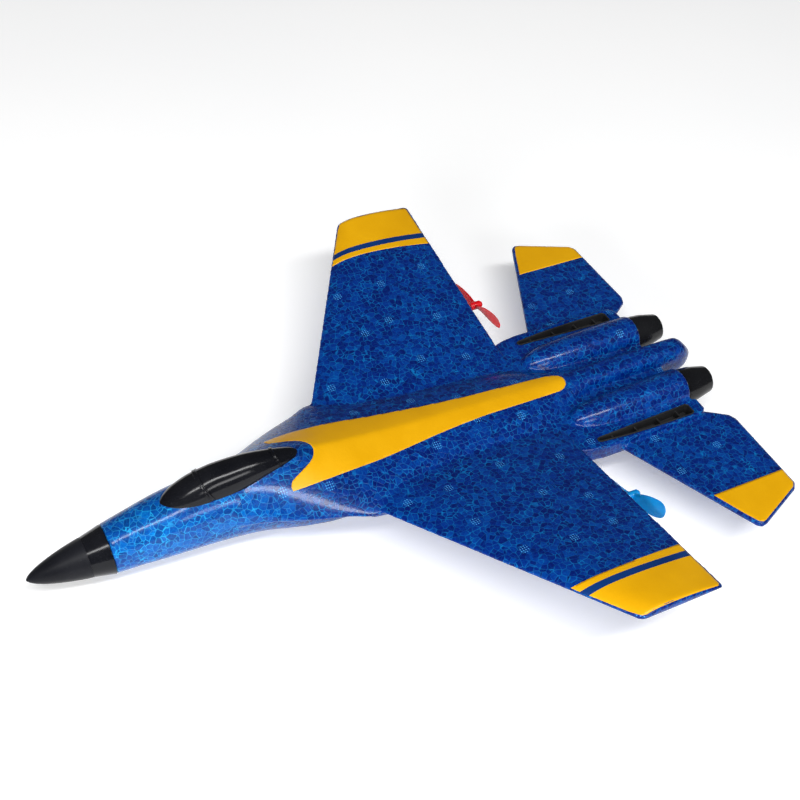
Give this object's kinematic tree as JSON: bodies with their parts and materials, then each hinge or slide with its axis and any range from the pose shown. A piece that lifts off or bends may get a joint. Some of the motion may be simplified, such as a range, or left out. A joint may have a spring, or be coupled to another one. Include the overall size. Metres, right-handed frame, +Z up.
{
  "type": "rc foam airplane",
  "caption": "Toy radio-controlled jet-shaped airplane: blue bead-foam body with swept wings and tailplanes, twin pusher propellers, black nose, canopy and nozzles, yellow films.",
  "frame": {"origin": "middle of the aircraft's length on the symmetry plane, at the level of the flat belly it rests on", "axes": "+X towards the nose, +Y towards the port wing tip, +Z up"},
  "size_m": [0.354, 0.29, 0.0489],
  "materials": {
    "blue_foam": "semi-gloss beaded foam",
    "black_rubber": "matt moulded",
    "black_gloss": "gloss moulded",
    "black_matt": "matt moulded",
    "yellow_film": "printed film, satin",
    "screw_steel": "zinc plated",
    "board_green": "solder mask",
    "component_dark": "moulded packages",
    "black_wire": "insulated wire",
    "red_wire": "insulated wire",
    "cell_pouch": "satin pouch",
    "foam_tape": "foam tape",
    "switch_metal": "stamped",
    "white_plastic": "moulded",
    "led_red": "moulded clear red",
    "can_steel": "drawn can",
    "magnet": "ground",
    "bronze": "sintered",
    "terminal_brass": "stamped",
    "copper_coil": "wound wire, bonded",
    "shaft_steel": "ground",
    "prop_blue": "moulded",
    "prop_red": "moulded"
  },
  "bodies": {
    "airframe": {"foam_airframe": "blue_foam", "nose_cap": "black_rubber", "nose_band": "black_gloss", "canopy": "black_gloss", "port_nozzle": "black_gloss", "starboard_nozzle": "black_gloss", "port_fin_socket": "black_matt", "starboard_fin_socket": "black_matt", "spine_decal": "yellow_film", "port_wing_decal": "yellow_film", "starboard_wing_decal": "yellow_film", "port_tail_decal": "yellow_film", "starboard_tail_decal": "yellow_film", "electronics_tray": "black_matt", "belly_cover": "black_matt", "cover_screws": "screw_steel", "receiver_board": "board_green", "board_components": "component_dark", "antenna_wire": "black_wire", "battery": "cell_pouch", "battery_pad": "foam_tape", "battery_leads": "red_wire", "power_switch_body": "switch_metal", "charge_socket": "white_plastic", "status_led": "led_red", "port_motor_mount": "black_matt", "port_motor_can": "can_steel", "port_motor_magnet": "magnet", "port_motor_bushes": "bronze", "port_motor_end_cap": "white_plastic", "port_motor_terminals": "terminal_brass", "port_motor_leads": "red_wire", "starboard_motor_mount": "black_matt", "starboard_motor_can": "can_steel", "starboard_motor_magnet": "magnet", "starboard_motor_bushes": "bronze", "starboard_motor_end_cap": "white_plastic", "starboard_motor_terminals": "terminal_brass", "starboard_motor_leads": "red_wire"},
    "port_rotor": {"port_propeller": "prop_blue", "port_motor_shaft": "shaft_steel", "port_motor_coil": "copper_coil"},
    "starboard_rotor": {"starboard_propeller": "prop_red", "starboard_motor_shaft": "shaft_steel", "starboard_motor_coil": "copper_coil"},
    "switch_slider": {"power_switch_knob": "black_matt"}
  },
  "joints": [
    {"name": "port_prop_spin", "type": "hinge", "parent": "airframe", "child": "port_rotor", "pos_m": [-0.09, 0.074, 0.026], "axis": [1, 0, 0], "continuous": true},
    {"name": "starboard_prop_spin", "type": "hinge", "parent": "airframe", "child": "starboard_rotor", "pos_m": [-0.09, -0.074, 0.026], "axis": [1, 0, 0], "continuous": true},
    {"name": "power_switch_slide", "type": "slide", "parent": "airframe", "child": "switch_slider", "axis": [1, 0, 0], "range_m": [0, 0.002]}
  ]
}
